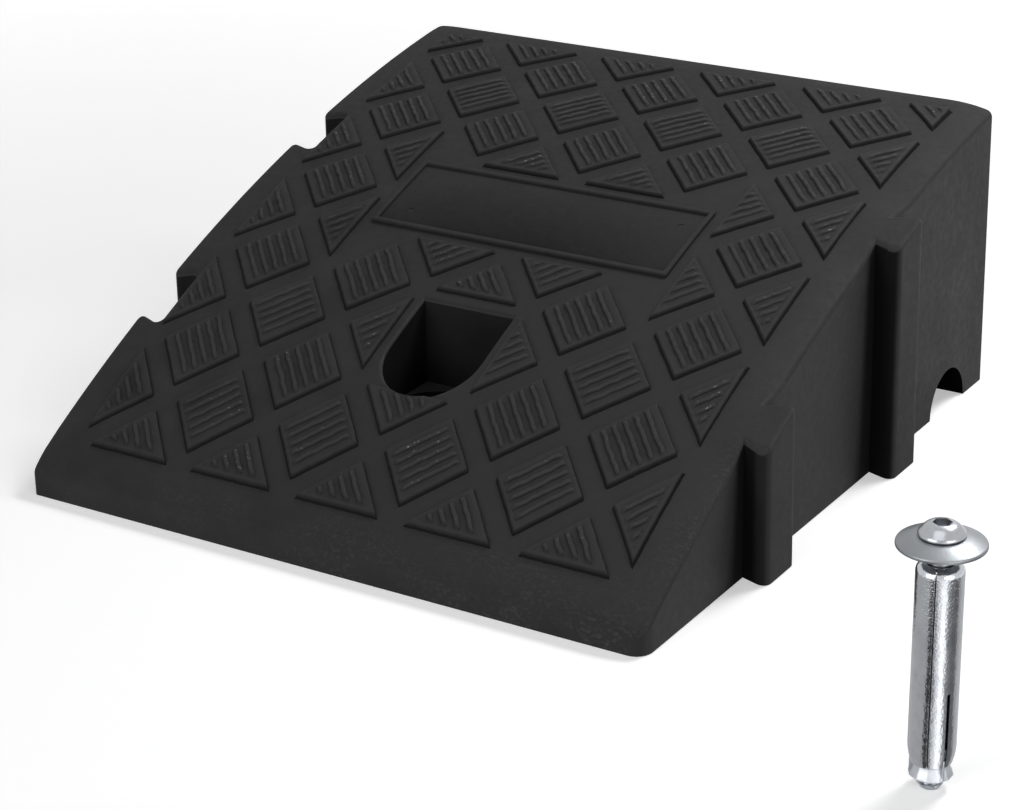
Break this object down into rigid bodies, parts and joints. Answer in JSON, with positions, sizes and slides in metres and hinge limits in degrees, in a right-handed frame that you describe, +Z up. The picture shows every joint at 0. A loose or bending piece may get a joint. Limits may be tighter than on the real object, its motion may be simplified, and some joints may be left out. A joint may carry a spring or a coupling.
{
  "type": "kerb ramp",
  "caption": "Black rubber kerb ramp with ribbed diamond tread, dovetail tongues and slots on its sides, an anchor pocket and a loose steel expansion anchor.",
  "frame": {"origin": "on the ground, on the axis of the ramp's anchor hole", "axes": "+X across the ramp towards the side with the tongues, +Y from the low front edge towards the kerb, +Z up along the anchor hole"},
  "size_m": [0.3726, 0.3076, 0.1103],
  "materials": {
    "rubber": "matte moulded",
    "zinc_bolt": "bright zinc plate",
    "zinc_washer": "satin zinc plate",
    "zinc_sleeve": "bright zinc plate",
    "zinc_nut": "satin zinc plate"
  },
  "bodies": {
    "ramp": {"ramp_body": "rubber"},
    "washer": {"dished_washer": "zinc_washer"},
    "bolt": {"anchor_bolt": "zinc_bolt", "star_washer": "zinc_bolt"},
    "nut": {"cone_nut": "zinc_nut"},
    "sleeve": {"anchor_sleeve": "zinc_sleeve"},
    "finger_1": {"sleeve_finger_1": "zinc_sleeve"},
    "finger_2": {"sleeve_finger_2": "zinc_sleeve"},
    "finger_3": {"sleeve_finger_3": "zinc_sleeve"}
  },
  "joints": [
    {"name": "anchor_lift", "type": "slide", "parent": "ramp", "child": "washer", "axis": [0, 0, 1], "range_m": [0, 0.12]},
    {"name": "bolt_turn", "type": "hinge", "parent": "washer", "child": "bolt", "pos_m": [0.2346, -0.0996, 0.08], "axis": [0, 0, -1], "range_deg": [0, 1080]},
    {"name": "nut_climb", "type": "slide", "parent": "washer", "child": "nut", "axis": [0, 0, 1], "range_m": [0, 0.00375]},
    {"name": "sleeve_slide", "type": "slide", "parent": "washer", "child": "sleeve", "axis": [0, 0, 1], "range_m": [0, 0.006]},
    {"name": "finger_1_bend", "type": "hinge", "parent": "sleeve", "child": "finger_1", "pos_m": [0.23436, -0.1066, 0.0329], "axis": [-0.9994, 0.0349, 0], "range_deg": [0, 3.6]},
    {"name": "finger_2_bend", "type": "hinge", "parent": "sleeve", "child": "finger_2", "pos_m": [0.24078, -0.09631, 0.0329], "axis": [0.4695, -0.8829, 0], "range_deg": [0, 3.6]},
    {"name": "finger_3_bend", "type": "hinge", "parent": "sleeve", "child": "finger_3", "pos_m": [0.22866, -0.09589, 0.0329], "axis": [0.5299, 0.848, 0], "range_deg": [0, 3.6]}
  ],
  "couplings": [
    {"joint": "nut_climb", "follows": "bolt_turn", "m_per_rad": 0.00019894},
    {"joint": "finger_1_bend", "follows": "bolt_turn", "ratio": 0.003333},
    {"joint": "finger_2_bend", "follows": "bolt_turn", "ratio": 0.003333},
    {"joint": "finger_3_bend", "follows": "bolt_turn", "ratio": 0.003333}
  ]
}
